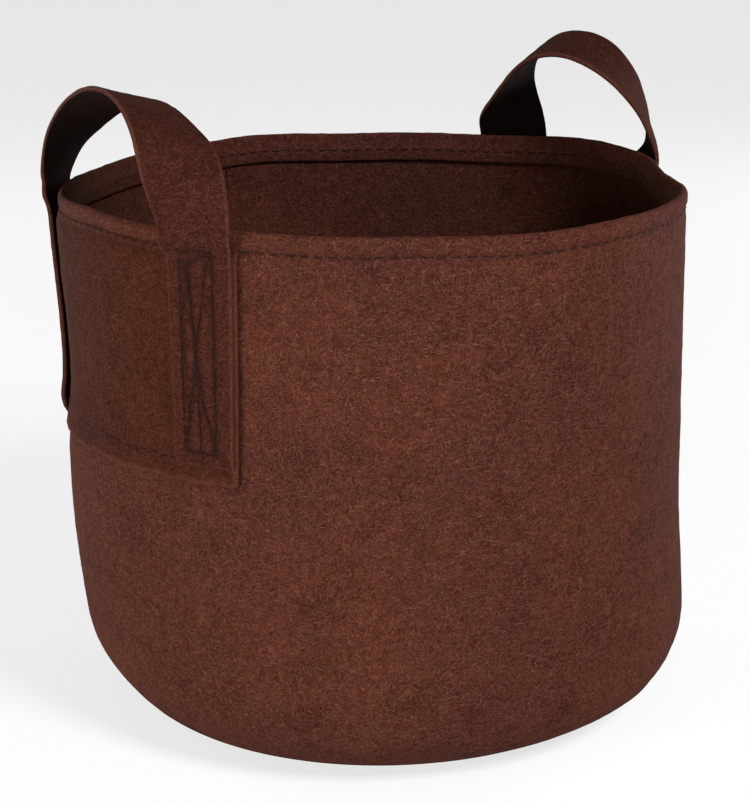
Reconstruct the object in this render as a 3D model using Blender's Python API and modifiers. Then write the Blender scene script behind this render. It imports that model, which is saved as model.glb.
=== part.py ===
"""Fabric grow bag: a round, open-topped planter of needle-punched felt with two sewn strap handles.

Frame: metres, +Z up, origin at the middle of the underside of the base, on the bag's own axis.
An azimuth is measured from the front (-Y) towards +X. The handles stand near -X and +X.
Each handle is one strap in real life. Here its two sewn legs are fixed to the bag, and the loop
between them turns about the line through both legs, just above the rim, where the felt bends.
"""

import math

import bmesh
import bpy
from mathutils import Vector

# Bag body
RIM_RADIUS = 0.178
BAG_HEIGHT = 0.305
FELT = 0.003
WALL_FOOT_RADIUS = 0.1766  # outer radius where the straight wall meets the rounded bottom edge
BOTTOM_ROUNDING = 0.057
HEM_DEPTH = 0.0175
FOLD_GAP = 0.0003
BASE_SEAM_RADIUS = 0.108
SEAM_ALLOWANCE = 0.010
LAYER_GAP = 0.0004  # between one felt layer and the next
TURN_STEPS = 72

# Handles and their patches
STRAP_WIDTH = 0.040
LEG_BOTTOM = 0.184
HINGE_ABOVE_RIM = 0.016
HINGE_CLEARANCE = 0.0025
HINGE_RELIEF = 0.38  # the leg's top falls away from its middle by this much more than the loop's edge swings down
PATCH_TOP = BAG_HEIGHT - 0.007
PATCH_BOTTOM = 0.171
PATCH_MARGIN = 0.0012  # how far the patch reaches past the legs at either end
PATCH_COLUMN_ANGLE = math.radians(6.0)
LOOP_SECTIONS = 28
ARCH_WIDTH_POWER = 1.1
ARCH_HEIGHT_POWER = 0.9

# (name, azimuth of the handle's middle, half the angle between its legs, height of its arch above the rim)
HANDLES = (
    ("left", math.radians(-96.5), math.radians(31.5), 0.058),
    ("right", math.radians(100.0), math.radians(17.0), 0.065),
)

# Sewing thread
THREAD_RADIUS = 0.0005
THREAD_GAP = 0.0003
RIM_STITCH_HEIGHT = BAG_HEIGHT - 0.010
PATCH_STITCH_HEIGHT = 0.1815
BOX_STITCH_WIDTH = 0.020
BOX_STITCH_BOTTOM = 0.190
BOX_STITCH_TOP = 0.290
BASE_STITCH_HEIGHT = 0.006
SIDE_SEAM_AZIMUTH = math.pi
CORNER_CLEARANCE = 0.0015
RING_POINTS = 90

HINGE_HEIGHT = BAG_HEIGHT + HINGE_ABOVE_RIM

# Distances outwards from the wall's outer face: inner faces of the patch and the legs, then threads' middles
PATCH_OFFSET = LAYER_GAP
LEG_OFFSET = PATCH_OFFSET + FELT + LAYER_GAP
THREAD_ON_WALL = THREAD_GAP + THREAD_RADIUS
THREAD_ON_PATCH = PATCH_OFFSET + FELT + THREAD_ON_WALL
THREAD_ON_LEG = LEG_OFFSET + FELT + THREAD_ON_WALL
LEG_CENTRE_RADIUS = RIM_RADIUS + LEG_OFFSET + FELT / 2

FELT_COLOUR = (0.118, 0.040, 0.026)
STRAP_COLOUR = (0.100, 0.034, 0.022)
THREAD_COLOUR = (0.030, 0.012, 0.009)


def clear_scene():
    for obj in list(bpy.data.objects):
        bpy.data.objects.remove(obj, do_unlink=True)


def new_collection(name):
    collection = bpy.data.collections.new(name)
    bpy.context.scene.collection.children.link(collection)
    return collection


def make_material(name, colour, roughness):
    material = bpy.data.materials.new(name)
    material.use_nodes = True
    shader = material.node_tree.nodes["Principled BSDF"]
    shader.inputs["Base Color"].default_value = (*colour, 1.0)
    shader.inputs["Roughness"].default_value = roughness
    shader.inputs["Metallic"].default_value = 0.0
    return material


def radial(azimuth):
    """Outward direction at an azimuth."""
    return Vector((math.sin(azimuth), -math.cos(azimuth), 0.0))


def tangent(azimuth):
    """Direction of growing azimuth."""
    return Vector((math.cos(azimuth), math.sin(azimuth), 0.0))


def wall_radius(height):
    """Outer radius of the straight wall, which narrows slightly downwards."""
    share = (min(height, BAG_HEIGHT) - BOTTOM_ROUNDING) / (BAG_HEIGHT - BOTTOM_ROUNDING)
    return WALL_FOOT_RADIUS + (RIM_RADIUS - WALL_FOOT_RADIUS) * share


def point_on_wall(azimuth, height, offset):
    return radial(azimuth) * (wall_radius(height) + offset) + Vector((0.0, 0.0, height))


def arc(centre, radius, start, end, count):
    """Points on an arc in the (radius, height) plane, angles in degrees."""
    points = []
    for i in range(count):
        angle = math.radians(start + (end - start) * i / (count - 1))
        points.append((centre[0] + radius * math.cos(angle), centre[1] + radius * math.sin(angle)))
    return points


def spread(start, end, count):
    return [start + (end - start) * i / (count - 1) for i in range(count)]


def turned(name, outline, closed, material, collection):
    """A solid of revolution about Z from an outline of (radius, height) points."""
    mesh = bpy.data.meshes.new(name)
    edges = [(i, i + 1) for i in range(len(outline) - 1)]
    if closed:
        edges.append((len(outline) - 1, 0))
    mesh.from_pydata([(r, 0.0, z) for r, z in outline], edges, [])
    obj = bpy.data.objects.new(name, mesh)
    collection.objects.link(obj)
    screw = obj.modifiers.new("turn", "SCREW")
    screw.axis = "Z"
    screw.steps = TURN_STEPS
    screw.render_steps = TURN_STEPS
    screw.use_merge_vertices = True
    screw.merge_threshold = 0.00005
    screw.use_smooth_shade = True
    mesh.materials.append(material)
    return obj


def felt_strip(name, rows, offset, material, collection):
    """A felt piece: the surface through rows of points, thickened. Offset 1 grows it outwards, 0 both ways."""
    mesh = bmesh.new()
    grid = [[mesh.verts.new(point) for point in row] for row in rows]
    for lower, upper in zip(grid, grid[1:]):
        for i in range(len(lower) - 1):
            mesh.faces.new((lower[i], lower[i + 1], upper[i + 1], upper[i]))
    data = bpy.data.meshes.new(name)
    mesh.to_mesh(data)
    mesh.free()
    obj = bpy.data.objects.new(name, data)
    collection.objects.link(obj)
    thickness = obj.modifiers.new("felt", "SOLIDIFY")
    thickness.thickness = FELT
    thickness.offset = offset
    thickness.use_even_offset = True
    data.materials.append(material)
    return obj


def thread(name, points, cyclic, material, collection):
    """A run of sewing thread along a row of points."""
    curve = bpy.data.curves.new(name, "CURVE")
    curve.dimensions = "3D"
    curve.bevel_depth = THREAD_RADIUS
    curve.bevel_resolution = 1
    curve.use_fill_caps = True
    spline = curve.splines.new("POLY")
    spline.points.add(len(points) - 1)
    for target, point in zip(spline.points, points):
        target.co = (*point, 1.0)
    spline.use_cyclic_u = cyclic
    obj = bpy.data.objects.new(name, curve)
    collection.objects.link(obj)
    curve.materials.append(material)
    return obj


def wall_outline():
    """The wall's felt in section: hem inside, over the rim, down, under the edge and up at the base seam."""
    fold_radius = FELT + FOLD_GAP / 2
    fold_centre = (RIM_RADIUS - fold_radius, BAG_HEIGHT - fold_radius)
    round_centre = (WALL_FOOT_RADIUS - BOTTOM_ROUNDING, BOTTOM_ROUNDING)
    hem_foot = BAG_HEIGHT - HEM_DEPTH
    hem_outer = wall_radius(hem_foot) - FELT - FOLD_GAP
    seam_outer = BASE_SEAM_RADIUS + FELT
    outline = arc(fold_centre, fold_radius, 180, 0, 7)
    outline += arc(round_centre, BOTTOM_ROUNDING, 0, -90, 10)
    outline += arc((seam_outer, FELT), FELT, -90, -180, 4)
    outline += [(BASE_SEAM_RADIUS, SEAM_ALLOWANCE), (seam_outer, SEAM_ALLOWANCE), (seam_outer, FELT)]
    outline += arc(round_centre, BOTTOM_ROUNDING - FELT, -90, 0, 10)
    outline += arc(fold_centre, FOLD_GAP / 2, 0, 180, 3)
    outline += [(hem_outer, hem_foot), (hem_outer - FELT, hem_foot)]
    return outline


def base_outline():
    """The base disc in section, from the axis out to its turned-up edge and back underneath."""
    edge = BASE_SEAM_RADIUS - FOLD_GAP
    outline = [(0.0, FELT), (edge - FELT, FELT), (edge - FELT, SEAM_ALLOWANCE), (edge, SEAM_ALLOWANCE)]
    outline += arc((edge - FELT, FELT), FELT, 0, -90, 4)
    outline.append((0.0, 0.0))
    return outline


def leg_azimuths(handle):
    """(front leg, rear leg): the front leg is the one nearer -Y."""
    _, middle, half_angle, _ = handle
    towards_front = -math.copysign(1.0, middle)
    return middle + towards_front * half_angle, middle - towards_front * half_angle


def half_strap_angle():
    return STRAP_WIDTH / 2 / LEG_CENTRE_RADIUS


def leg_columns(azimuth):
    half = half_strap_angle()
    return spread(azimuth - half, azimuth + half, 7)


def leg_rows(azimuth, half_angle):
    """Rows of a strap leg, from its sewn lower end to its peaked top just under the hinge line."""
    fall = math.sin(half_angle) + HINGE_RELIEF
    rows = []
    for share in spread(0.0, 1.0, 6):
        row = []
        for column in leg_columns(azimuth):
            across = abs(column - azimuth) * LEG_CENTRE_RADIUS
            top = HINGE_HEIGHT - HINGE_CLEARANCE - across * fall
            height = LEG_BOTTOM + (top - LEG_BOTTOM) * share
            row.append(point_on_wall(column, height, LEG_OFFSET))
        rows.append(row)
    return rows


def patch_columns(handle):
    """Azimuths across a patch, which spans both legs."""
    _, middle, half_angle, _ = handle
    reach = half_angle + half_strap_angle() + PATCH_MARGIN / RIM_RADIUS
    count = int(2 * reach / PATCH_COLUMN_ANGLE) + 2
    return spread(middle - reach, middle + reach, count)


def patch_rows(handle):
    return [
        [point_on_wall(a, z, PATCH_OFFSET) for a in patch_columns(handle)]
        for z in spread(PATCH_BOTTOM, PATCH_TOP, 4)
    ]


def hinge_point(handle):
    """The middle of the line that a handle's loop turns about."""
    _, middle, half_angle, _ = handle
    return radial(middle) * LEG_CENTRE_RADIUS * math.cos(half_angle) + Vector((0.0, 0.0, HINGE_HEIGHT))


def loop_rows(handle):
    """Sections of the loop in its own frame: X along the hinge line, -Y outwards, Z up."""
    _, _, half_angle, arch_height = handle
    reach = LEG_CENTRE_RADIUS * math.sin(half_angle)
    rise = arch_height - HINGE_ABOVE_RIM
    centres = []
    for t in spread(0.0, math.pi, LOOP_SECTIONS + 1):
        along = math.copysign(abs(math.cos(t)) ** ARCH_WIDTH_POWER, math.cos(t))
        up = max(math.sin(t), 0.0) ** ARCH_HEIGHT_POWER
        centres.append(Vector((reach * along, 0.0, rise * up)))
    rows = []
    for i, centre in enumerate(centres):
        before = centres[max(i - 1, 0)]
        after = centres[min(i + 1, LOOP_SECTIONS)]
        direction = (after - before).normalized()
        if i in (0, LOOP_SECTIONS):
            direction = Vector((0.0, 0.0, 1.0 if i == 0 else -1.0))
        share = 1 - abs(2 * i / LOOP_SECTIONS - 1)
        turn = share * share * (3 - 2 * share)
        angle = half_angle + (math.pi / 2 - half_angle) * turn
        side = 1.0 if 2 * i <= LOOP_SECTIONS else -1.0
        across = Vector((-side * math.cos(angle), -math.sin(angle), 0.0))
        across -= direction * across.dot(direction)
        across = across.normalized() * STRAP_WIDTH / 2
        rows.append([centre - across, centre, centre + across])
    return rows


def make_loop(handle, material, collection):
    name, middle, _, _ = handle
    loop = felt_strip(f"{name}_handle_loop", loop_rows(handle), 0.0, material, collection)
    loop.location = hinge_point(handle)
    loop.rotation_euler = (0.0, 0.0, middle)
    return loop


def rim_thread_stops(handle):
    """(azimuth, offset) pairs of the hem's outer stitch line where it crosses a patch and both of its legs."""
    _, middle, half_angle, _ = handle
    step_back = CORNER_CLEARANCE / RIM_RADIUS
    half = half_strap_angle() + step_back
    edge = half_angle + half + PATCH_MARGIN / RIM_RADIUS
    inner = half_angle - half
    stops = [(middle - edge, THREAD_ON_WALL)]
    stops += [(a, THREAD_ON_LEG) for a in spread(middle - edge, middle - inner, 5)]
    stops += [(a, THREAD_ON_PATCH) for a in spread(middle - inner, middle + inner, 10)]
    stops += [(a, THREAD_ON_LEG) for a in spread(middle + inner, middle + edge, 5)]
    stops.append((middle + edge, THREAD_ON_WALL))
    return stops


def rim_thread_points():
    """The hem's outer stitch line: round the wall, and out over each patch and its legs."""
    crossings = [rim_thread_stops(handle) for handle in HANDLES]
    front_gap = crossings[1][0][0] - crossings[0][-1][0]
    back_gap = crossings[0][0][0] + 2 * math.pi - crossings[1][-1][0]
    stops = []
    for crossing, gap in zip(crossings, (front_gap, back_gap)):
        stops += crossing
        plain = int(RING_POINTS * gap / (2 * math.pi))
        start = crossing[-1][0]
        stops += [(start + gap * i / plain, THREAD_ON_WALL) for i in range(1, plain)]
    return [point_on_wall(azimuth, RIM_STITCH_HEIGHT, offset) for azimuth, offset in stops]


def ring_points(radius, height):
    angles = [2 * math.pi * i / RING_POINTS for i in range(RING_POINTS)]
    return [radial(a) * radius + Vector((0.0, 0.0, height)) for a in angles]


def box_thread_points(azimuth):
    """The outline of the box stitched through a leg, the patch and the wall."""
    half = BOX_STITCH_WIDTH / 2 / RIM_RADIUS
    across = spread(azimuth - half, azimuth + half, 4)
    corners = [(a, BOX_STITCH_BOTTOM) for a in across] + [(a, BOX_STITCH_TOP) for a in reversed(across)]
    return [point_on_wall(a, z, THREAD_ON_LEG) for a, z in corners]


def make_threads(material, collection):
    thread("rim_needle_thread", rim_thread_points(), True, material, collection)
    inner_face = wall_radius(RIM_STITCH_HEIGHT) - 2 * FELT - FOLD_GAP
    hem_inside = inner_face - THREAD_ON_WALL
    thread("rim_bobbin_thread", ring_points(hem_inside, RIM_STITCH_HEIGHT), True, material, collection)
    base_inside = BASE_SEAM_RADIUS - FOLD_GAP - FELT - THREAD_ON_WALL
    thread("base_seam_thread", ring_points(base_inside, BASE_STITCH_HEIGHT), True, material, collection)
    seam_top = BAG_HEIGHT - HEM_DEPTH - CORNER_CLEARANCE
    seam = [
        point_on_wall(SIDE_SEAM_AZIMUTH, z, -FELT - THREAD_ON_WALL)
        for z in spread(BOTTOM_ROUNDING, seam_top, 3)
    ]
    thread("side_seam_thread", seam, False, material, collection)
    for handle in HANDLES:
        name = handle[0]
        run = [point_on_wall(a, PATCH_STITCH_HEIGHT, THREAD_ON_PATCH) for a in patch_columns(handle)]
        thread(f"{name}_patch_thread", run[1:-1], False, material, collection)
        for place, azimuth in zip(("front", "rear"), leg_azimuths(handle)):
            box = box_thread_points(azimuth)
            thread(f"{name}_{place}_box_thread", box, True, material, collection)


def main():
    clear_scene()
    bag = new_collection("fabric_grow_bag")
    felt = make_material("felt", FELT_COLOUR, 0.95)
    strap_felt = make_material("strap_felt", STRAP_COLOUR, 0.95)
    sewing = make_material("sewing_thread", THREAD_COLOUR, 0.7)
    turned("wall_panel", wall_outline(), True, felt, bag)
    turned("base_panel", base_outline(), False, felt, bag)
    for handle in HANDLES:
        name = handle[0]
        felt_strip(f"{name}_patch", patch_rows(handle), 1.0, felt, bag)
        for place, azimuth in zip(("front", "rear"), leg_azimuths(handle)):
            felt_strip(f"{name}_{place}_leg", leg_rows(azimuth, handle[2]), 1.0, strap_felt, bag)
        make_loop(handle, strap_felt, bag)
    make_threads(sewing, bag)


main()
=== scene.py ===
"""How the fabric grow bag looks: felt, raw cut edges, seams and separate stitches, built round the CAD frame.

Metres, +Z up. An azimuth is measured from the front (-Y) towards +X, as in the CAD model. Offsets are
distances outwards from the wall's outer face.
"""

import math

import bmesh
import bpy
import numpy as np
from mathutils import Matrix, Vector, noise


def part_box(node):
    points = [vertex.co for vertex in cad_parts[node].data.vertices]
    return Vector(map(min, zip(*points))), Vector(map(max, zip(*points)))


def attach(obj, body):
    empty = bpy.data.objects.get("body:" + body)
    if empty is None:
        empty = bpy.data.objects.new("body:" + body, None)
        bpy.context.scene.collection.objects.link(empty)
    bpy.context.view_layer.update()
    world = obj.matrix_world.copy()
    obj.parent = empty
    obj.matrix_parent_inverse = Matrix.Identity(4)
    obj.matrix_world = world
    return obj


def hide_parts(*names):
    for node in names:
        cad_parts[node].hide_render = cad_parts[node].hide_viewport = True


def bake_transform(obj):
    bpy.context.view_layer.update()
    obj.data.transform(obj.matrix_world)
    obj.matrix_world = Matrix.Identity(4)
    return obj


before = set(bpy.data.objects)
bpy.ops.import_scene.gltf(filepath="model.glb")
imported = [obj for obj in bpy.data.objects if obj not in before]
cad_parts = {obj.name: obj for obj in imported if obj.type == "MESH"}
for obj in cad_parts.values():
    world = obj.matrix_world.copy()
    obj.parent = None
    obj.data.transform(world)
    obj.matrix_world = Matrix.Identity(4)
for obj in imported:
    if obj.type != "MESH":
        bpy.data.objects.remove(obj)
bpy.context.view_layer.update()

# Bag body, with the wall's size from the CAD model
RIM_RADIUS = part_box("wall_panel")[1].x
BAG_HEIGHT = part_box("wall_panel")[1].z
FELT = 0.003
WALL_FOOT_RADIUS = RIM_RADIUS - 0.0014
BOTTOM_ROUNDING = 0.057
BASE_SEAM_RADIUS = 0.108
SEAM_ALLOWANCE = 0.010
BASE_SEAM_HEIGHT = 0.0068
HEM_DEPTH = 0.0175
FOLD_GAP = 0.0003
HEM_PRESS = 0.30
HEM_STANDS_PROUD = 0.0007
STITCH_GROOVE = 0.0009
EDGE_ROUNDING = 0.0005
LAYER_GAP = 0.0002
PATCH_FELT = 0.0024
STRAP_FELT = 0.0028

# Patches, straps and stitches
STRAP_WIDTH = 0.040
PATCH_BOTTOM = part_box("left_patch")[0].z
PATCH_TOP = BAG_HEIGHT - 0.0100
PATCH_MARGIN = 0.0014
PATCH_PINCH = 0.72
PATCH_SEAM_MARGIN = 0.002
STITCH_LENGTH = 0.0066
BOX_STITCH_LENGTH = 0.0062
STITCH_GAP = 0.0011
BEND_SPACING = 0.003
THREAD_RADIUS = 0.00048
RIM_STITCH_HEIGHT = BAG_HEIGHT - 0.0105
PATCH_STITCH_HEIGHT = 0.1825
STITCH_HOLLOW = 0.0016
HOLLOW_WIDTH = 0.0016
SUNK_IN_PATCH = 0.26 * PATCH_FELT
SUNK_IN_STRAP = 0.0015
SUNK_PAST_STRAP = 0.0034
SIDE_SEAM_AZIMUTH = math.radians(178.0)

# The box of stitches on each leg: across is positive away from the handle's middle
BOX_INNER = -0.0085
BOX_OUTER = 0.0105
BOX_BOTTOM = 0.188
BOX_TOP = 0.2943
TAIL_PAST_STRAP = 0.181

# Each strap, with the leg at the larger azimuth first:
#   legs      azimuths of the two sewn legs (degrees)
#   ends      heights of the sewn ends
#   pulls     how far the free loop is pulled along, out and up where it leaves each leg (mm)
#   twist     directions of the strap's width inside the loop, as (along, out, up)
#   settle    over what length the loop takes up each leg's own shape
#   swing     how far the inner edge swings off the wall at the rim (degrees)
#   drawn_in  how far the stitches draw in the inner edge of each leg
#   lifted    how far each leg's near edge has come away from the patch
HANDLES = {
    "left": dict(
        legs=(-66.8, -127.0),
        pulls=((-1.8, 13.0, 103.0), (9.0, -18.0, 45.0)),
        twist=((-0.70, 1.14, 0.52), (-0.26, 1.21, 0.24)),
        settle=(0.030, 0.030),
        swing=(0.0, 0.0),
        ends=(0.1810, 0.1720),
        drawn_in=(0.0042, 0.0),
        lifted=(0.0, 0.0030),
    ),
    "right": dict(
        legs=(117.0, 83.0),
        pulls=((-3.0, -16.0, 66.0), (-30.0, -9.5, 92.0)),
        twist=((-1.90, 1.90, -0.70), (-0.20, 0.40, 1.26)),
        settle=(0.020, 0.020),
        swing=(0.0, 24.0),
        ends=(0.1810, 0.1810),
        drawn_in=(0.0, 0.0),
        lifted=(0.0, 0.0),
    ),
}

# Where the felt stands out of round at the rim and at the foot: azimuth and width in degrees, depth in metres
RIM_BULGES = (
    (-53.0, 14.0, -0.0100),
    (-4.0, 14.0, 0.0095),
    (-109.0, 8.0, 0.0020),
    (60.0, 10.0, -0.0090),
    (103.0, 14.0, 0.0125),
    (172.0, 8.0, 0.0065),
)
FOOT_BULGES = (
    (22.0, 26.0, 0.0060),
    (-98.0, 24.0, -0.0040),
)

# Beside the left patch the wall is drawn in at a waist and fuller under it: azimuth, width (degrees), share
SOFT_SIDE = ((-118.0, 20.0, 1.0),)
WAIST_DEPTH = 0.0030
BELLY_DEPTH = 0.0045

# Painted shade held in the materials' colour, from 0 to 1 (1 as dark as the painted shade on a strap's inner
# face). Inside the wall it is a table of azimuth and width in degrees, and strength.
SHADE_INSIDE = ((-122.0, 20.0, 0.80),)
SHADE_AT_HEM = 0.30
SHADE_AT_PATCH = 0.60
SHADE_AT_STITCHES = 0.42
SHADE_AT_EDGE = 0.60

WALL_STEPS = 480
BASE_STEPS = 144
STRAP_COLUMNS = 33
LEG_ROWS = 84
LOOP_ROWS = 81
PATCH_ROWS = 40
PATCH_COLUMN_WIDTH = 0.0034

# Each light: azimuth in degrees, height, distance, size, power
LIGHTS = {
    "key": (4, 1.55, 1.75, 0.7, 50),
    "low_left": (-88, 0.27, 2.0, 0.5, 28),
    "low_front": (-38, 0.24, 2.2, 0.5, 14),
    "low_back_right": (100, 0.27, 2.2, 0.6, 26),
    "low_back_left": (195, 0.27, 2.2, 0.6, 26),
}
LIGHT_TARGET = Vector((0.0, 0.0, 0.15))
FLOOR_GLOW = 0.72
WORLD_ON_BAG = 0.26
WORLD_SEEN = 1.0


def wrapped(angle):
    return (np.asarray(angle) + np.pi) % (2 * np.pi) - np.pi


def bump(value, centre, width):
    return np.exp(-(((value - centre) / width) ** 2) / 2)


def smooth(value, low, high):
    t = np.clip((np.asarray(value, float) - low) / (high - low), 0, 1)
    return t * t * (3 - 2 * t)


def radial(azimuth):
    azimuth = np.asarray(azimuth, float)
    return np.stack([np.sin(azimuth), -np.cos(azimuth), np.zeros_like(azimuth)], -1)


def tangent(azimuth):
    azimuth = np.asarray(azimuth, float)
    return np.stack([np.cos(azimuth), np.sin(azimuth), np.zeros_like(azimuth)], -1)


def humps(table, azimuth):
    """The sum of a table's smooth humps round the bag, each an azimuth, a width and a size."""
    total = 0.0
    for centre, width, size in table:
        total = total + size * bump(wrapped(azimuth - math.radians(centre)), 0, math.radians(width))
    return total


def out_of_round(azimuth, height):
    """How far the soft wall stands out from a true circle."""
    height = np.asarray(height, float)
    total = humps(RIM_BULGES, azimuth) * smooth(height, 0.04, BAG_HEIGHT) ** 1.4
    waist = WAIST_DEPTH * bump(height, 0.215, 0.035)
    belly = BELLY_DEPTH * smooth(-height, -0.200, -0.155) * smooth(height, 0.0, 0.09)
    total = total + humps(SOFT_SIDE, azimuth) * (belly - waist)
    lower = smooth(height, 0.0, 0.022) * smooth(-height, -0.13, -0.05)
    total = total + humps(FOOT_BULGES, azimuth) * lower
    sway = 0.0009 * np.sin(3 * azimuth + 1.1) + 0.0006 * np.sin(7 * azimuth + 0.4 + 9 * height)
    return total + sway * smooth(height, 0.02, 0.12)


def rim_wave(azimuth, height):
    """How far the rim stands above or below level."""
    wave = 0.0008 * np.sin(4 * azimuth + 2.0) + 0.0004 * np.sin(11 * azimuth + 0.7)
    return wave * smooth(height, 0.22, BAG_HEIGHT)


def wall_radius(height):
    share = (np.minimum(height, BAG_HEIGHT) - BOTTOM_ROUNDING) / (BAG_HEIGHT - BOTTOM_ROUNDING)
    return WALL_FOOT_RADIUS + (RIM_RADIUS - WALL_FOOT_RADIUS) * share


def stitch_dent(height):
    """The groove that the hem's stitches pull into the wall, and the hem band standing proud above it."""
    band = HEM_STANDS_PROUD * bump(height, BAG_HEIGHT - 0.0045, 0.0028)
    return band - STITCH_GROOVE * bump(height, RIM_STITCH_HEIGHT, 0.0016)


def on_wall(azimuth, height, offset):
    """Points outside the straight part of the wall."""
    azimuth, height, offset = np.broadcast_arrays(azimuth, height, offset)
    r = wall_radius(height) + out_of_round(azimuth, height) + stitch_dent(height) + offset
    points = radial(azimuth) * r[..., None]
    points[..., 2] = height + rim_wave(azimuth, height)
    return points


def lumps(points, size, seed):
    """Smooth noise at each point, about -1 to 1."""
    shift = Vector((seed * 7.3, seed * 3.1, seed * 5.7))
    values = [noise.noise(Vector(p) / size + shift) for p in points.reshape(-1, 3)]
    return np.array(values).reshape(points.shape[:-1])


def relief(points, seed):
    """The unevenness of needle-punched felt, in metres."""
    return 0.00030 * lumps(points, 0.016, seed) + 0.00022 * lumps(points, 0.006, seed + 1)


def new_object(name, mesh, materials):
    obj = bpy.data.objects.new(name, mesh)
    bpy.context.scene.collection.objects.link(obj)
    for material in materials:
        mesh.materials.append(material)
    for polygon in mesh.polygons:
        polygon.use_smooth = True
    return obj


def build_mesh(name, points, faces, uvs, raw, inner):
    """A mesh with UVs in metres, and at each point a raw-edge value and an amount of painted shade from 0 to
    1.

    A face across the wall's UV seam takes its far corners one turn on, so that the felt's grain runs through.
    """
    mesh = bpy.data.meshes.new(name)
    mesh.from_pydata([tuple(p) for p in points], [], faces)
    layer = mesh.uv_layers.new(name="felt")
    for polygon in mesh.polygons:
        corners = [uvs[i] for i in polygon.vertices]
        wide = max(c[0] for c in corners) - min(c[0] for c in corners) > 0.5
        for loop, corner in zip(polygon.loop_indices, corners):
            u = corner[0] + (2 * math.pi * RIM_RADIUS if wide and corner[0] < 0.3 else 0.0)
            layer.data[loop].uv = (u, corner[1])
    for label, values in (("raw_edge", raw), ("painted_shade", inner)):
        attribute = mesh.attributes.new(label, "FLOAT", "POINT")
        attribute.data.foreach_set("value", np.asarray(values, np.float32))
    fix_normals(mesh)
    return mesh


def sheet_border(rows, columns):
    """The places round the border of a sheet's grid, in order."""
    border = [(0, j) for j in range(columns)]
    border += [(i, columns - 1) for i in range(1, rows)]
    border += [(rows - 1, j) for j in range(columns - 2, -1, -1)]
    return border + [(i, 0) for i in range(rows - 2, 0, -1)]


def out_of_sheet(centres, normals, i, j):
    """The direction out of the sheet at a border place, square to the sheet's normal."""
    rows, columns = centres.shape[:2]
    out = centres[i, j] - centres[min(max(i, 1), rows - 2), min(max(j, 1), columns - 2)]
    out = out - normals[i, j] * np.dot(out, normals[i, j])
    return out / max(np.linalg.norm(out), 1e-9)


def felt_sheet(name, centres, normals, thickness, materials, seed, shade=0.0):
    """A closed felt piece round a grid of mid-surface points, with softly rounded raw edges."""
    rows, columns = centres.shape[:2]
    thick = np.broadcast_to(np.asarray(thickness, float), (rows, columns))[..., None]
    uneven = relief(centres, seed)[..., None]
    outer = centres + normals * (thick / 2 + uneven)
    inner = centres - normals * (thick / 2 + uneven * 0.5)
    border = sheet_border(rows, columns)
    along = np.linalg.norm(np.diff(centres, axis=0), axis=-1)
    across = np.linalg.norm(np.diff(centres, axis=1), axis=-1)
    v = np.concatenate([np.zeros((1, columns)), np.cumsum(along, 0)])
    u = np.concatenate([np.zeros((rows, 1)), np.cumsum(across, 1)], axis=1)
    points = list(outer.reshape(-1, 3)) + list(inner.reshape(-1, 3))
    uvs = [(a, b) for a, b in zip(u.ravel(), v.ravel())] * 2
    raw = [0.0] * len(points)
    for i, j in border:
        raw[i * columns + j] = 0.8
    rings = []
    for share in (0.72, 0.0, -0.72):
        ring = []
        for i, j in border:
            rounding = EDGE_ROUNDING * (1 - share * share * 0.6)
            fuzz = 0.0002 * noise.noise(Vector(centres[i, j]) * 700 + Vector((share * 9, seed, 0)))
            place = centres[i, j] + normals[i, j] * thick[i, j] / 2 * share
            ring.append(len(points))
            points.append(place + out_of_sheet(centres, normals, i, j) * (rounding + fuzz))
            uvs.append((u[i, j] + share * 0.002, v[i, j] + share * 0.002))
            raw.append(1.0)
        rings.append(ring)
    layer = rows * columns

    def at(i, j, side):
        return side * layer + i * columns + j

    faces = []
    for i in range(rows - 1):
        for j in range(columns - 1):
            faces.append((at(i, j, 0), at(i, j + 1, 0), at(i + 1, j + 1, 0), at(i + 1, j, 0)))
            faces.append((at(i, j, 1), at(i + 1, j, 1), at(i + 1, j + 1, 1), at(i, j + 1, 1)))
    loops = [[at(i, j, 0) for i, j in border], *rings, [at(i, j, 1) for i, j in border]]
    for upper, lower in zip(loops, loops[1:]):
        for k in range(len(border)):
            after = (k + 1) % len(border)
            faces.append((upper[k], lower[k], lower[after], upper[after]))
    # Painted shade: the outer face takes the given shade, the whole inner face is painted as dark as it goes,
    # and the cut edge's ring nearest the inner face is painted part dark.
    painted_shade = np.zeros(len(points))
    painted_shade[:layer] = np.broadcast_to(shade, (rows, columns)).ravel()
    painted_shade[layer : 2 * layer] = 1.0
    painted_shade[-len(border) :] = SHADE_AT_EDGE
    return new_object(name, build_mesh(name, points, faces, uvs, raw, painted_shade), materials)


def fix_normals(mesh):
    """Turn every face outwards."""
    work = bmesh.new()
    work.from_mesh(mesh)
    bmesh.ops.recalc_face_normals(work, faces=work.faces)
    work.to_mesh(mesh)
    work.free()


def arc(centre, radius, start, end, count):
    """Points round an arc, with its angles in degrees."""
    angles = np.radians(np.linspace(start, end, count))
    return [(centre[0] + radius * math.cos(a), centre[1] + radius * math.sin(a)) for a in angles]


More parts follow.
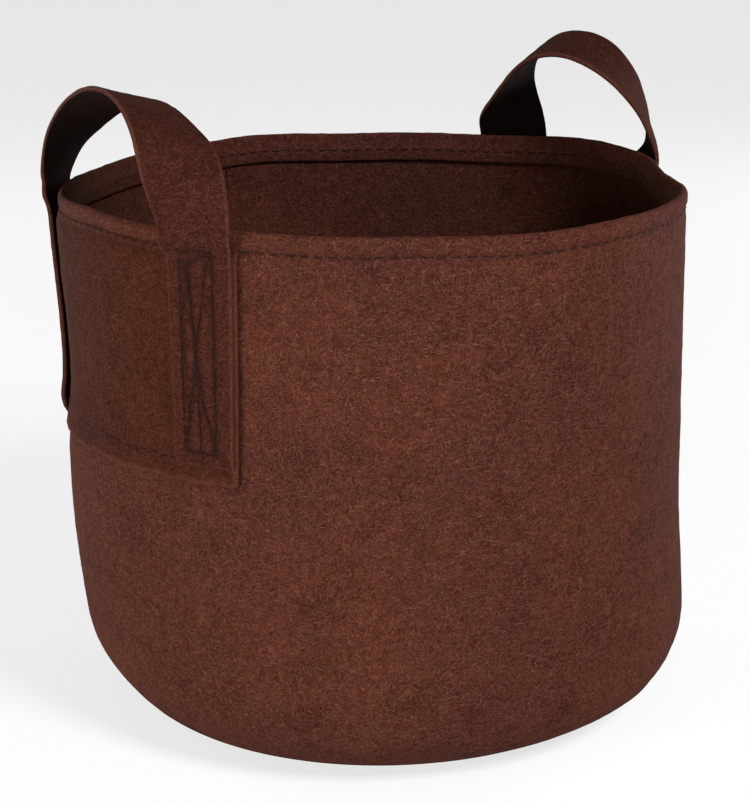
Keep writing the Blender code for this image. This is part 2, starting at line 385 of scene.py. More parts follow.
def wall_section():
    """The wall in section, as (radius, height, raw edge): hem, rim fold, wall, lower edge and base seam."""
    fold_radius = FELT + FOLD_GAP / 2
    fold = (RIM_RADIUS - fold_radius, BAG_HEIGHT - fold_radius)
    edge = (WALL_FOOT_RADIUS - BOTTOM_ROUNDING, BOTTOM_ROUNDING)
    hem_foot = BAG_HEIGHT - HEM_DEPTH
    hem_outer = wall_radius(hem_foot) - FELT - FOLD_GAP
    seam_outer = BASE_SEAM_RADIUS + FELT
    hem_heights = np.linspace(hem_foot + 0.0012, fold[1], 8)[:-1]
    wall_heights = np.linspace(fold[1], BOTTOM_ROUNDING, 76)[1:-1]
    section = [(hem_outer - FELT, z, 0.0) for z in hem_heights]
    section += [(r, z, 0.0) for r, z in arc(fold, fold_radius, 180, 0, 13)]
    section += [(wall_radius(z), z, 0.0) for z in wall_heights]
    section += [(r, z, 0.0) for r, z in arc(edge, BOTTOM_ROUNDING, 0, -90, 26)]
    section += [(r, z, 0.0) for r, z in arc((seam_outer, FELT), FELT, -90, -180, 6)]
    section += [(r, SEAM_ALLOWANCE, 1.0) for r in (BASE_SEAM_RADIUS, seam_outer)]
    section += [(seam_outer, FELT, 0.0)]
    section += [(r, z, 0.0) for r, z in arc(edge, BOTTOM_ROUNDING - FELT, -90, 0, 22)]
    section += [(wall_radius(z) - FELT, z, 0.0) for z in wall_heights[::-1]]
    section += [(r, z, 0.0) for r, z in arc(fold, FOLD_GAP / 2, 0, 180, 3)]
    section += [(hem_outer, z, 0.0) for z in hem_heights[::-1]]
    section += [(hem_outer - 0.0004, hem_foot, 1.0), (hem_outer - FELT + 0.0004, hem_foot, 1.0)]
    return section


def wall_shade(azimuth, height, facing_in):
    """The shade held in the wall: inside by the left handle, at the hem stitches and beside the patches."""
    shade = facing_in * humps(SHADE_INSIDE, azimuth)
    outside = 1 - facing_in
    shade = shade + outside * SHADE_AT_HEM * bump(height, RIM_STITCH_HEIGHT, 0.0012)
    patch_height = (height > PATCH_BOTTOM) * (height < PATCH_TOP)
    for handle in HANDLES.values():
        middle, reach = patch_span(handle)
        beside = (np.abs(wrapped(azimuth - middle)) - reach) * RIM_RADIUS
        shade = shade + outside * SHADE_AT_PATCH * bump(beside, 0.0004, 0.0014) * patch_height
    return shade


def make_wall(materials):
    section = wall_section()
    radii = np.array([s[0] for s in section])
    heights = np.array([s[1] for s in section])
    count = len(section)
    azimuths = np.linspace(0, 2 * math.pi, WALL_STEPS, endpoint=False)
    az = np.broadcast_to(azimuths[:, None], (WALL_STEPS, count))
    z = np.broadcast_to(heights[None, :], az.shape)
    pressed = HEM_PRESS * smooth(heights, BAG_HEIGHT - HEM_DEPTH, BAG_HEIGHT - 0.004)
    radii = radii + (RIM_RADIUS - radii) * pressed
    r = radii[None, :] + out_of_round(az, z) + stitch_dent(z) * smooth(radii[None, :], 0.1, 0.17)
    points = radial(az) * r[..., None]
    points[..., 2] = z + rim_wave(az, z)
    inwards = np.roll(points, -1, 1) - np.roll(points, 1, 1)
    normals = np.cross(inwards, tangent(az))
    normals /= np.maximum(np.linalg.norm(normals, axis=-1, keepdims=True), 1e-9)
    free = smooth(z, 0.004, 0.02)[..., None]
    points = points + normals * relief(points, 3)[..., None] * free
    along = np.concatenate([[0], np.cumsum(np.hypot(np.diff(radii), np.diff(heights)))])
    uvs = [(a * RIM_RADIUS, s) for a in azimuths for s in along]
    raw = [s[2] for s in section] * WALL_STEPS
    faces = []
    for i in range(WALL_STEPS):
        here, ahead = i * count, (i + 1) % WALL_STEPS * count
        for k in range(count):
            after = (k + 1) % count
            faces.append((here + k, ahead + k, ahead + after, here + after))
    facing_in = np.sum(normals * radial(az), axis=-1) < -0.3
    shade = wall_shade(az, z, facing_in).ravel()
    mesh = build_mesh("felt_wall", points.reshape(-1, 3), faces, uvs, raw, shade)
    wall = new_object("felt_wall", mesh, materials)
    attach(wall, "bag")
    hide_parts("wall_panel")


def base_faces():
    """The inner and outer face of the base disc with its turned-up seam edge, as grids of spokes."""
    edge = BASE_SEAM_RADIUS - FOLD_GAP
    ring = [(r, FELT / 2) for r in np.linspace(0.0005, edge - FELT, 34)]
    ring += arc((edge - FELT, FELT), FELT / 2, -90, 0, 5)[1:]
    ring += [(edge - FELT / 2, z) for z in np.linspace(FELT, SEAM_ALLOWANCE, 4)[1:]]
    azimuths = np.linspace(0, 2 * math.pi, BASE_STEPS, endpoint=False)
    centres = np.array([[(r * math.sin(a), -r * math.cos(a), z) for r, z in ring] for a in azimuths])
    step = unit(np.gradient(np.array(ring), axis=0))
    normals = np.array([[(-s[1] * math.sin(a), s[1] * math.cos(a), s[0]) for s in step] for a in azimuths])
    top = centres + normals * FELT / 2
    bottom = centres - normals * FELT / 2
    bottom[..., 2] = np.maximum(bottom[..., 2], 0.0)
    return top, bottom


def make_base(materials):
    """The base disc, sewn inside the lower edge of the wall: two fans of quads joined along the raw edge."""
    top, bottom = base_faces()
    count = top.shape[1]
    layer = BASE_STEPS * count
    points = [(0, 0, FELT), (0, 0, 0)] + list(top.reshape(-1, 3)) + list(bottom.reshape(-1, 3))
    uvs = [(p[0] + 0.3, p[1] + 0.3) for p in points]
    raw = np.zeros(len(points))
    faces = []
    for i in range(BASE_STEPS):
        here, ahead = 2 + i * count, 2 + (i + 1) % BASE_STEPS * count
        for side in (0, 1):
            a, b = here + side * layer, ahead + side * layer
            faces.append((side, a, b))
            faces += [(a + k, a + k + 1, b + k + 1, b + k) for k in range(count - 1)]
        a, b = here + count - 1, ahead + count - 1
        faces.append((a, a + layer, b + layer, b))
        raw[[a, a + layer]] = 1.0
    mesh = build_mesh("base_felt", points, faces, uvs, raw, np.zeros(len(points)))
    base = new_object("base_felt", mesh, materials)
    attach(base, "bag")
    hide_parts("base_panel")


def leg_azimuths(handle):
    """The azimuths of the leg that the strap's path starts at and of the one that it ends at."""
    return tuple(math.radians(azimuth) for azimuth in handle["legs"])


def away_from_middle(which):
    """The sign of the azimuth away from the handle's middle, at its first or second leg."""
    return 1.0 if which == 0 else -1.0


def leg_gap(handle, which, azimuth, height):
    """How far a leg stands off the patch, where its near edge has come away."""
    away = wrapped(azimuth - leg_azimuths(handle)[which]) * RIM_RADIUS
    end = handle["ends"][which]
    lift = smooth(height, end, end + 0.012) + 0.4 * smooth(height, BAG_HEIGHT - 0.021, BAG_HEIGHT)
    return handle["lifted"][which] * lift * smooth(away, -0.004, STRAP_WIDTH / 2)


def stitch_runs():
    """The lines of stitching on a leg, as (across, height): a leaning box, a crossed line and a tail."""
    lean = 0.001
    low_inner, low_outer = (BOX_INNER, BOX_BOTTOM), (BOX_OUTER, BOX_BOTTOM)
    high_inner, high_outer = (BOX_INNER - lean, BOX_TOP), (BOX_OUTER - lean, BOX_TOP)
    crossed = [(0.0060, 0.287), (0.0090, BOX_TOP), (-0.0062, 0.286), (0.0030, 0.215)]
    return {
        "outline": [low_inner, high_inner, high_outer, low_outer, low_inner],
        "cross": [low_inner, *crossed, low_outer],
        "tail": [(-0.0045, 0.290), (-0.0012, 0.235), (0.0025, 0.1765)],
    }


def stitch_hollow(across, height):
    """The hollows that the stitches pull into a leg's outer face, up to 1."""
    nearest = np.full(np.broadcast(across, height).shape, 1.0)
    for run in stitch_runs().values():
        for (a0, z0), (a1, z1) in zip(run, run[1:]):
            reach = (a1 - a0) ** 2 + (z1 - z0) ** 2
            t = np.clip(((across - a0) * (a1 - a0) + (height - z0) * (z1 - z0)) / reach, 0, 1)
            nearest = np.minimum(nearest, np.hypot(across - a0 - t * (a1 - a0), height - z0 - t * (z1 - z0)))
    return np.exp(-((nearest / HOLLOW_WIDTH) ** 2))


def leg_grid(name, which, across, heights):
    """Mid-surface points of one sewn leg, from its lower end to just above the rim."""
    handle = HANDLES[name]
    end = heights[0]
    z = np.broadcast_to(heights[:, None], (len(heights), len(across)))
    below = np.minimum(z, BAG_HEIGHT)
    drawn = handle["drawn_in"][which] * smooth(-z, -PATCH_TOP - 0.0005, 0.004 - PATCH_TOP)
    drawn = drawn * (1 + 0.35 * smooth(-z, 0.005 - PATCH_TOP, -end))
    from_middle = -across[None, :]
    from_middle = from_middle + drawn * (1 - smooth(from_middle, -STRAP_WIDTH / 2, 0.004))
    az = leg_azimuths(handle)[which] + away_from_middle(which) * from_middle / RIM_RADIUS
    hollow = STITCH_HOLLOW * stitch_hollow(from_middle, z)
    puff = 0.0016 * bump(z, BAG_HEIGHT - 0.0035, 0.0042)
    pinch = STRAP_FELT / 2 * smooth(-z, -end - 0.003, -end)
    swing = math.sin(math.radians(handle["swing"][which])) * smooth(z, PATCH_TOP - 0.002, heights[-1])
    r = wall_radius(below) + out_of_round(az, below) + 2 * LAYER_GAP + PATCH_FELT + STRAP_FELT / 2
    r = r - hollow + puff - pinch + leg_gap(handle, which, az, z) + swing * (STRAP_WIDTH / 2 - from_middle)
    grid = radial(az) * r[..., None]
    grid[..., 2] = z + rim_wave(az, below)
    return grid


def curve(points, count):
    """A smooth curve from its two ends and two pulls."""
    t = np.linspace(0, 1, count)[:, None]
    p = [np.asarray(point, float) for point in points]
    return (1 - t) ** 3 * p[0] + 3 * (1 - t) ** 2 * t * p[1] + 3 * (1 - t) * t**2 * p[2] + t**3 * p[3]


def unit(vectors):
    return vectors / np.linalg.norm(vectors, axis=-1, keepdims=True)


def strap_path(name):
    """Mid-surface grid and normals of a whole strap, from one sewn end over its loop to the other."""
    handle = HANDLES[name]
    across = np.linspace(-STRAP_WIDTH / 2, STRAP_WIDTH / 2, STRAP_COLUMNS)
    first_heights, last_heights = [np.linspace(end, BAG_HEIGHT + 0.002, LEG_ROWS) for end in handle["ends"]]
    up = leg_grid(name, 0, across, first_heights)
    down = leg_grid(name, 1, across, last_heights)[::-1]
    start, end = up[-1, STRAP_COLUMNS // 2], down[0, STRAP_COLUMNS // 2]
    chord = unit(end - start)
    outward = np.cross(chord, (0, 0, 1.0))
    outward *= np.sign(outward @ (start + end))
    local = np.array([chord, outward, (0, 0, 1.0)])
    pulls = np.array(handle["pulls"]) / 1000 @ local
    centres = curve([start, start + pulls[0], end + pulls[1], end], LOOP_ROWS)
    first, last = unit(up[-1, -1] - up[-1, 0]), unit(down[0, -1] - down[0, 0])
    twist = np.array(handle["twist"]) @ local
    widths = curve([first, twist[0], twist[1], last], len(centres))
    along = unit(np.gradient(centres, axis=0))
    widths = unit(widths - along * np.sum(widths * along, axis=1, keepdims=True))
    loop = centres[:, None] + widths[:, None] * across[None, :, None]
    run = np.concatenate([[0], np.cumsum(np.linalg.norm(np.diff(centres, axis=0), axis=1))])
    near_start = (1 - smooth(run, 0, handle["settle"][0]))[:, None, None]
    near_end = (1 - smooth(run[-1] - run, 0, handle["settle"][1]))[:, None, None]
    loop = loop + near_start * (up[-1] - loop[0])[None] + near_end * (down[0] - loop[-1])[None]
    grid = np.concatenate([up[:-1], loop, down[1:]])
    loop_end = LEG_ROWS + LOOP_ROWS
    joins = np.r_[LEG_ROWS - 5 : LEG_ROWS + 12, loop_end - 14 : loop_end + 3]
    for _ in range(6):
        grid[joins] = (grid[joins - 1] + 2 * grid[joins] + grid[joins + 1]) / 4
    normals = unit(np.cross(np.gradient(grid, axis=0), np.gradient(grid, axis=1)))
    return grid, normals


def make_strap(name, materials):
    grid, normals = strap_path(name)
    middle = grid[:, STRAP_COLUMNS // 2]
    rows = np.arange(len(grid))
    from_end = np.minimum(rows, rows[::-1])[:, None]
    thickness = STRAP_FELT * (0.62 + 0.38 * smooth(from_end, 0, 3))
    across = np.linspace(STRAP_WIDTH / 2, -STRAP_WIDTH / 2, STRAP_COLUMNS)
    shade = SHADE_AT_STITCHES * stitch_hollow(across[None, :], middle[:, None, 2]) * (from_end < LEG_ROWS - 7)
    seed = 11 if name == "left" else 17
    strap = felt_sheet(f"{name}_strap", grid, normals, thickness, materials, seed, shade)
    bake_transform(strap)
    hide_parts(f"{name}_handle_loop", f"{name}_front_leg", f"{name}_rear_leg")


def patch_span(handle):
    """The middle azimuth, and half the angle, of the patch under a strap's two legs."""
    high, low = leg_azimuths(handle)
    return (high + low) / 2, (high - low) / 2 + (STRAP_WIDTH / 2 + PATCH_MARGIN) / RIM_RADIUS


def make_patch(name, materials):
    middle, reach = patch_span(HANDLES[name])
    columns = int(2 * reach * RIM_RADIUS / PATCH_COLUMN_WIDTH)
    az = np.linspace(middle + reach, middle - reach, columns)[None, :]
    z = np.linspace(PATCH_BOTTOM, PATCH_TOP, PATCH_ROWS)[:, None]
    az, z = np.broadcast_arrays(az, z)
    thickness = PATCH_FELT * (1 - PATCH_PINCH * smooth(z, PATCH_TOP - 0.006, PATCH_TOP))
    thickness = thickness * (1 - 0.30 * bump(z, PATCH_STITCH_HEIGHT, 0.0014))
    ragged = 0.0006 * np.sin(az * 60) + 0.0005 * np.sin(az * 23 + 1)
    heights = z + ragged * smooth(-z, -PATCH_BOTTOM - 0.006, -PATCH_BOTTOM)
    centres = on_wall(az, heights, LAYER_GAP + thickness / 2)
    normals = unit(np.cross(np.gradient(centres, axis=0), np.gradient(centres, axis=1)))
    seed = 23 if name == "left" else 29
    patch = felt_sheet(f"{name}_patch_felt", centres, normals, thickness, materials, seed)
    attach(patch, "bag")
    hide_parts(f"{name}_patch")


def stitch_line(name, points, normals, materials, length=STITCH_LENGTH):
    """Separate stitches along a path: each a short thread that dives into the felt at both ends."""
    run = np.concatenate([[0], np.cumsum(np.linalg.norm(np.diff(points, axis=0), axis=1))])
    count = max(int(run[-1] / (length + STITCH_GAP)), 1)
    pitch = run[-1] / count
    sections, sides = 7, 6
    verts, faces = [], []

    def at(table, distance):
        return np.array([np.interp(distance, run, table[:, k]) for k in range(3)])

    for i in range(count):
        begin = i * pitch + STITCH_GAP / 2
        finish = (i + 1) * pitch - STITCH_GAP / 2
        base = len(verts)
        for k in range(sections):
            share = k / (sections - 1)
            here = begin + (finish - begin) * share
            up = unit(at(normals, here))
            ahead = unit(at(points, here + 1e-4) - at(points, here - 1e-4))
            across = unit(np.cross(ahead, up))
            dive = (2 * share - 1) ** 4
            centre = at(points, here) + up * THREAD_RADIUS * (0.75 - 2.6 * dive)
            size = THREAD_RADIUS * (1 - 0.45 * dive)
            for s in range(sides):
                angle = 2 * math.pi * s / sides
                verts.append(centre + across * size * math.cos(angle) + up * size * math.sin(angle))
        for k in range(sections - 1):
            a, b = base + k * sides, base + (k + 1) * sides
            for s in range(sides):
                after = (s + 1) % sides
                faces.append((a + s, a + after, b + after, b + s))
        faces.append(tuple(base + s for s in reversed(range(sides))))
        faces.append(tuple(base + (sections - 1) * sides + s for s in range(sides)))
    mesh = bpy.data.meshes.new(name)
    mesh.from_pydata([tuple(v) for v in verts], [], faces)
    fix_normals(mesh)
    return new_object(name, mesh, materials)


def thread_piece(obj, *nodes):
    """A row of stitches that rides the bag and stands for these smooth runs of thread."""
    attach(obj, "bag")
    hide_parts(*nodes)


def covered(azimuth, spans):
    """1 where one of the spans, each a middle and half an angle, lies over that azimuth."""
    return np.max([np.abs(wrapped(azimuth - middle)) < reach for middle, reach in spans], axis=0)


def hem_offset(azimuth):
    """Distance from the wall to the outermost felt face at the hem stitches, eased over each step."""
    patches = [patch_span(handle) for handle in HANDLES.values()]
    half_strap = STRAP_WIDTH / 2 / RIM_RADIUS
    legs = [(leg, half_strap) for handle in HANDLES.values() for leg in leg_azimuths(handle)]
    pinched = PATCH_FELT * (1 - PATCH_PINCH * smooth(RIM_STITCH_HEIGHT, PATCH_TOP - 0.006, PATCH_TOP))
    offset = covered(azimuth, patches) * (LAYER_GAP + pinched)
    offset = offset + covered(azimuth, legs) * (LAYER_GAP + STRAP_FELT)
    return np.convolve(np.concatenate([offset[-4:], offset, offset[:4]]), np.ones(9) / 9, "valid")


def make_hem_stitches(materials):
    azimuths = np.linspace(0, 2 * math.pi, 1200)
    points = on_wall(azimuths, RIM_STITCH_HEIGHT, hem_offset(azimuths))
    line = stitch_line("hem_stitches_outside", points, radial(azimuths), materials)
    thread_piece(line, "rim_needle_thread")
    depth = (2 * FELT + FOLD_GAP) * (1 - HEM_PRESS * 0.6)
    inside = on_wall(azimuths, RIM_STITCH_HEIGHT, -depth)
    line = stitch_line("hem_stitches_inside", inside, -radial(azimuths), materials)
    thread_piece(line, "rim_bobbin_thread")


def make_patch_stitches(name, materials):
    middle, reach = patch_span(HANDLES[name])
    reach -= PATCH_SEAM_MARGIN / RIM_RADIUS
    az = np.linspace(middle + reach, middle - reach, 200)
    height = PATCH_STITCH_HEIGHT + 0.0006 * np.sin(az * 31)
    points = on_wall(az, height, LAYER_GAP + PATCH_FELT - SUNK_IN_PATCH)
    line = stitch_line(f"{name}_patch_stitches", points, radial(az), materials)
    thread_piece(line, f"{name}_patch_thread")


def make_box_stitches(name, which, materials):
    """The long box, and the crossed stitches inside it, that hold one leg of a strap."""
    handle = HANDLES[name]
    place = "front" if (which == 0) == (name == "left") else "rear"
    pieces = []
    for label, run in stitch_runs().items():
        line = []
        for (a0, z0), (a1, z1) in zip(run, run[1:]):
            steps = max(int(math.hypot(a1 - a0, z1 - z0) / BEND_SPACING), 2)
            line += [(a0 + (a1 - a0) * k / steps, z0 + (z1 - z0) * k / steps) for k in range(steps)]
        line.append(run[-1])
        across, z = np.array(line).T
        az = leg_azimuths(handle)[which] + away_from_middle(which) * across / RIM_RADIUS
        offset = 2 * LAYER_GAP + PATCH_FELT + STRAP_FELT + leg_gap(handle, which, az, z) - SUNK_IN_STRAP
        offset = offset - SUNK_PAST_STRAP * (z < TAIL_PAST_STRAP) - stitch_dent(z)
        points = on_wall(az, z, offset)
        piece = f"{name}_{place}_{label}"
        pieces.append(stitch_line(piece, points, radial(az), materials, BOX_STITCH_LENGTH))
    for piece in pieces:
        thread_piece(piece)
    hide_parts(f"{name}_{place}_box_thread")


def make_seams(materials):
    z = np.linspace(0.055, BAG_HEIGHT - HEM_DEPTH - 0.001, 120)
    az = np.full_like(z, SIDE_SEAM_AZIMUTH)
    points = on_wall(az, z, -FELT)
    line = stitch_line("side_seam_stitches", points, -radial(az), materials)
    thread_piece(line, "side_seam_thread")
    azimuths = np.linspace(0, 2 * math.pi, 500)
    ring = radial(azimuths) * (BASE_SEAM_RADIUS - FOLD_GAP - FELT)
    ring[:, 2] = BASE_SEAM_HEIGHT
    line = stitch_line("base_seam_stitches", ring, -radial(azimuths), materials)
    thread_piece(line, "base_seam_thread")


class Graph:
    """Short calls for building a material's nodes."""

    def __init__(self, name):
        self.material = bpy.data.materials.new(name)
        self.material.use_nodes = True
        self.nodes = self.material.node_tree.nodes
        self.links = self.material.node_tree.links
        self.shader = self.nodes["Principled BSDF"]

    def add(self, kind, **settings):
        node = self.nodes.new(kind)
        for key, value in settings.items():
            setattr(node, key, value)
        return node

    def feed(self, socket, value):
        if isinstance(value, bpy.types.NodeSocket):
            self.links.new(value, socket)
        else:
            socket.default_value = value

    def math(self, operation, a, b):
        node = self.add("ShaderNodeMath", operation=operation)
        self.feed(node.inputs[0], a)
        self.feed(node.inputs[1], b)
        return node.outputs[0]

    def mix(self, factor, a, b, blend="MIX"):
        node = self.add("ShaderNodeMix", data_type="RGBA", blend_type=blend)
        self.feed(node.inputs["Factor"], factor)
        self.feed(node.inputs[6], a)
        self.feed(node.inputs[7], b)
        return node.outputs[2]

    def spread(self, value, low, high):
        """A value from 0 to 1, moved to between low and high."""
        node = self.add("ShaderNodeMapRange")
        self.feed(node.inputs["Value"], value)
        node.inputs["To Min"].default_value = low
        node.inputs["To Max"].default_value = high
        return node.outputs[0]

    def bump(self, height, strength, distance):
        node = self.add("ShaderNodeBump")
        node.inputs["Strength"].default_value = strength
        node.inputs["Distance"].default_value = distance
        self.feed(node.inputs["Height"], height)
        self.feed(self.shader.inputs["Normal"], node.outputs[0])

    def ramp(self, value, low, high):
        """0 below low, 1 above high, and a smooth rise between them."""
        node = self.add("ShaderNodeMapRange", interpolation_type="SMOOTHSTEP")
        self.feed(node.inputs["Value"], value)
        node.inputs["From Min"].default_value = low
        node.inputs["From Max"].default_value = high
        return node.outputs[0]

    def noise(self, vector, scale, detail=2.0, rough=0.5, distortion=0.0):
        node = self.add("ShaderNodeTexNoise")
        self.feed(node.inputs["Vector"], vector)
        node.inputs["Scale"].default_value = scale
        node.inputs["Detail"].default_value = detail
        node.inputs["Roughness"].default_value = rough
        node.inputs["Distortion"].default_value = distortion
        return node.outputs["Fac"]

    def turned(self, vector, angle, stretch, shift):
        """The coordinates turned in the cloth's plane and stretched, for fibres lying that way."""
        node = self.add("ShaderNodeMapping", vector_type="TEXTURE")
        self.feed(node.inputs["Vector"], vector)
        node.inputs["Rotation"].default_value = (0, 0, math.radians(angle))
        node.inputs["Scale"].default_value = (stretch, 1.0, 1.0)
        node.inputs["Location"].default_value = (shift, shift * 0.37, shift * 0.11)
        return node.outputs[0]


def linear(red, green, blue):
    """An sRGB colour, 0 to 255, as linear RGBA."""
    values = [v / 255 for v in (red, green, blue)]
    return tuple(v / 12.92 if v <= 0.04045 else ((v + 0.055) / 1.055) ** 2.4 for v in values) + (1.0,)


def felt_material(name, deep, mean, warm, light, inner):
    """Needle-punched felt: mottled ground, short fibres every way, fuzz on cut edges and painted shade."""
    g = Graph(name)
    plane = g.add("ShaderNodeUVMap", uv_map="felt").outputs[0]
    space = g.add("ShaderNodeTexCoord").outputs["Object"]
    broad = g.noise(space, 11.0, 3.0, 0.55)
    patchy = g.noise(space, 38.0, 3.0, 0.6)
    mottle = g.noise(space, 230.0, 3.0, 0.65)
    grain = g.noise(space, 1100.0, 2.0, 0.6)
    ground = g.mix(g.ramp(broad, 0.35, 0.68), mean, warm)
    ground = g.mix(g.math("MULTIPLY", g.ramp(patchy, 0.50, 0.70), 0.38), ground, deep)
    ground = g.mix(g.math("MULTIPLY", g.ramp(mottle, 0.42, 0.70), 0.40), ground, deep)
    light_fibres, dark_fibres = 0.0, 0.0
    for k, angle in enumerate((12, 57, 98, 139, 171)):
        bent = g.turned(plane, angle, 6.5, 0.31 * k)
        streak = g.noise(bent, 1300.0, 1.5, 0.5, 1.2)
        light_fibres = g.math("MAXIMUM", light_fibres, g.ramp(streak, 0.57, 0.72))
        bent = g.turned(plane, angle + 23, 6.0, 1.7 + 0.23 * k)
        streak = g.noise(bent, 1000.0, 1.5, 0.5, 1.2)
        dark_fibres = g.math("MAXIMUM", dark_fibres, g.ramp(streak, 0.58, 0.75))
    colour = g.mix(g.math("MULTIPLY", dark_fibres, 0.60), ground, deep)
    colour = g.mix(g.math("MULTIPLY", light_fibres, 0.38), colour, light)
    speck = g.spread(g.ramp(grain, 0.30, 0.72), 0.66, 1.32)
    tone = g.add("ShaderNodeCombineColor")
    for socket in tone.inputs:
        g.feed(socket, speck)
    colour = g.mix(1.0, colour, tone.outputs[0], "MULTIPLY")
    raw = g.add("ShaderNodeAttribute", attribute_name="raw_edge").outputs["Fac"]
    fuzz = g.math("MULTIPLY", raw, g.ramp(grain, 0.25, 0.6))
    colour = g.mix(g.math("MULTIPLY", fuzz, 0.6), colour, light)
    # Painted shade: the felt is darkened towards a near-black shade colour (the inner argument), as far as
    # the mesh's painted shade values reach.
    painted_shade_amount = g.add("ShaderNodeAttribute", attribute_name="painted_shade").outputs["Fac"]
    painted_shade_colour = g.mix(g.math("MULTIPLY", g.ramp(patchy, 0.45, 0.7), 0.25), inner, deep)
    colour = g.mix(g.math("MULTIPLY", painted_shade_amount, 0.93), colour, painted_shade_colour)
    g.feed(g.shader.inputs["Base Color"], colour)
    g.feed(g.shader.inputs["Roughness"], g.spread(mottle, 0.86, 0.98))
    g.shader.inputs["Specular IOR Level"].default_value = 0.02
    g.shader.inputs["Sheen Weight"].default_value = 0.02
    g.shader.inputs["Sheen Roughness"].default_value = 0.55
    g.shader.inputs["Sheen Tint"].default_value = (0.55, 0.28, 0.20, 1.0)
    height = g.math("ADD", g.math("MULTIPLY", light_fibres, 0.55), g.math("MULTIPLY", mottle, 0.7))
    height = g.math("SUBTRACT", height, g.math("MULTIPLY", dark_fibres, 0.35))
    height = g.math("ADD", height, g.math("MULTIPLY", grain, 0.35))
    g.bump(height, 0.55, 0.0006)
    return g.material


def thread_material(name, dark, pale):
    """Twisted sewing thread."""
    g = Graph(name)
    space = g.add("ShaderNodeTexCoord").outputs["Object"]
    twist = g.add("ShaderNodeTexWave", wave_type="BANDS", bands_direction="DIAGONAL")
    g.feed(twist.inputs["Vector"], space)
    twist.inputs["Scale"].default_value = 900.0
    twist.inputs["Distortion"].default_value = 2.0
    tone = g.noise(space, 160.0, 2.0)
    colour = g.mix(g.math("MULTIPLY", twist.outputs["Fac"], 0.5), dark, pale)
    colour = g.mix(g.math("MULTIPLY", tone, 0.4), colour, dark)
    g.feed(g.shader.inputs["Base Color"], colour)
    g.feed(g.shader.inputs["Roughness"], g.spread(tone, 0.6, 0.85))
    g.shader.inputs["Specular IOR Level"].default_value = 0.1
    g.bump(twist.outputs["Fac"], 0.5, 0.0002)
    return g.material


def make_floor():
    """A pale floor that looks brighter to the camera than it is to the bag."""
    work = bmesh.new()
    bmesh.ops.create_grid(work, x_segments=2, y_segments=2, size=6.0)
    mesh = bpy.data.meshes.new("floor")
    work.to_mesh(mesh)
    work.free()
    g = Graph("pale_floor")
    g.shader.inputs["Base Color"].default_value = (0.93, 0.93, 0.93, 1.0)
    g.shader.inputs["Roughness"].default_value = 0.9
    g.shader.inputs["Specular IOR Level"].default_value = 0.1
    bright = g.add("ShaderNodeEmission")
    blend = g.add("ShaderNodeMixShader")
    seen = g.add("ShaderNodeLightPath").outputs["Is Camera Ray"]
    g.links.new(g.math("MULTIPLY", seen, FLOOR_GLOW), blend.inputs[0])
    g.links.new(g.shader.outputs[0], blend.inputs[1])
    g.links.new(bright.outputs[0], blend.inputs[2])
    g.links.new(blend.outputs[0], g.nodes["Material Output"].inputs["Surface"])
    mesh.materials.append(g.material)
    floor = bpy.data.objects.new("floor", mesh)
    bpy.context.scene.collection.objects.link(floor)
    floor.location.z = -0.0005


def make_world():
    """A white world that looks brighter to the camera than it is to the bag."""
    world = bpy.data.worlds.new("studio")
    world.use_nodes = True
    tree = world.node_tree
    tree.nodes["Background"].inputs["Color"].default_value = (1.0, 1.0, 1.0, 1.0)
    path = tree.nodes.new("ShaderNodeLightPath")
    level = tree.nodes.new("ShaderNodeMapRange")
    level.inputs["To Min"].default_value = WORLD_ON_BAG
    level.inputs["To Max"].default_value = WORLD_SEEN
    tree.links.new(path.outputs["Is Camera Ray"], level.inputs["Value"])
    tree.links.new(level.outputs[0], tree.nodes["Background"].inputs["Strength"])
    bpy.context.scene.world = world


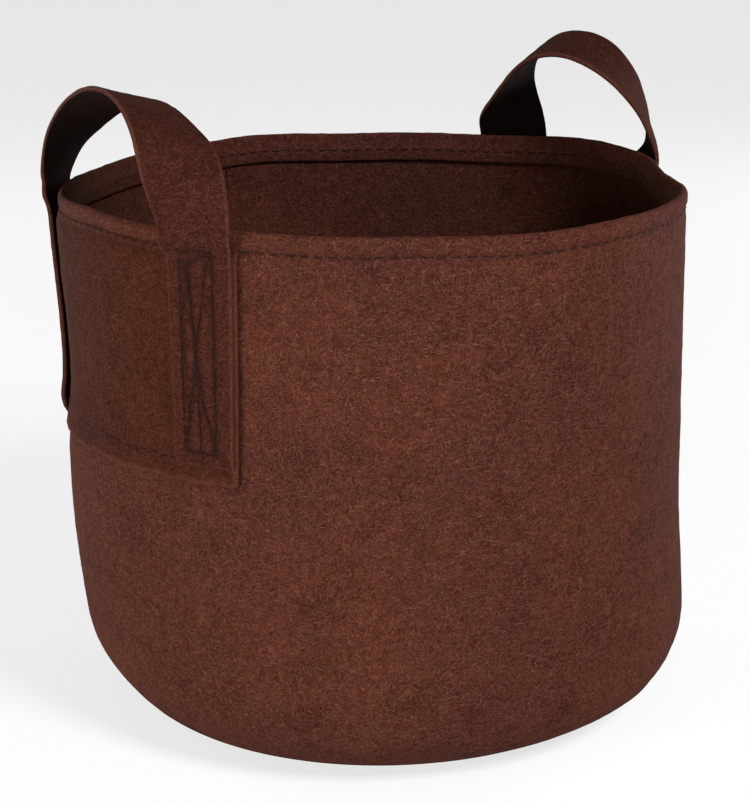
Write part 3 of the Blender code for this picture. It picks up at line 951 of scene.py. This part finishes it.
def make_light(name, azimuth, height, distance, size, power):
    light = bpy.data.lights.new(name, "AREA")
    light.shape = "DISK"
    light.size = size
    light.energy = power
    obj = bpy.data.objects.new(name, light)
    bpy.context.scene.collection.objects.link(obj)
    place = radial(math.radians(azimuth)) * distance
    obj.location = (place[0], place[1], height)
    aim = LIGHT_TARGET - obj.location
    obj.rotation_euler = aim.to_track_quat("-Z", "Y").to_euler()


def make_camera():
    """A camera a little above the bag, looking down at its left front."""
    distance, height = 1.1699, 0.5049
    azimuth = math.radians(-35.0)
    pitch, yaw, roll = 0.2779, -0.0022, -0.0119
    focal_length = 92.03
    ahead = Vector((math.sin(yaw) * math.cos(pitch), math.cos(yaw) * math.cos(pitch), -math.sin(pitch)))
    right = Vector((math.cos(yaw), -math.sin(yaw), 0.0))
    above = right.cross(ahead)
    turned_right = right * math.cos(roll) + above * math.sin(roll)
    turned_up = above * math.cos(roll) - right * math.sin(roll)
    rotation = Matrix((turned_right, turned_up, -ahead)).transposed().to_4x4()
    swing = Matrix.Rotation(azimuth, 4, "Z")
    data = bpy.data.cameras.new("camera")
    data.lens = focal_length
    camera = bpy.data.objects.new("camera", data)
    bpy.context.scene.collection.objects.link(camera)
    camera.matrix_world = swing @ Matrix.Translation((0.0, -distance, height)) @ rotation
    bpy.context.scene.camera = camera


def main():
    bpy.context.scene.view_settings.view_transform = "Standard"
    # The near-black colour of the painted shade in every felt material.
    painted_shade_colour = linear(9, 7, 6)
    felt = felt_material(
        "felt", linear(30, 12, 9), linear(62, 30, 24), linear(70, 35, 23), linear(112, 70, 56), painted_shade_colour
    )
    patch_felt = felt_material(
        "patch_felt", linear(29, 11, 7), linear(50, 22, 15), linear(58, 28, 16), linear(94, 54, 41), painted_shade_colour
    )
    strap_felt = felt_material(
        "strap_felt", linear(28, 11, 8), linear(48, 21, 16), linear(53, 25, 17), linear(92, 53, 42), painted_shade_colour
    )
    sewing = thread_material("sewing_thread", linear(28, 12, 8), linear(50, 25, 18))
    make_wall([felt])
    make_base([felt])
    for name in HANDLES:
        make_patch(name, [patch_felt])
        make_strap(name, [strap_felt])
        make_patch_stitches(name, [sewing])
        for which in (0, 1):
            make_box_stitches(name, which, [sewing])
    make_hem_stitches([sewing])
    make_seams([sewing])
    make_floor()
    make_world()
    for name, settings in LIGHTS.items():
        make_light(name, *settings)
    make_camera()


main()
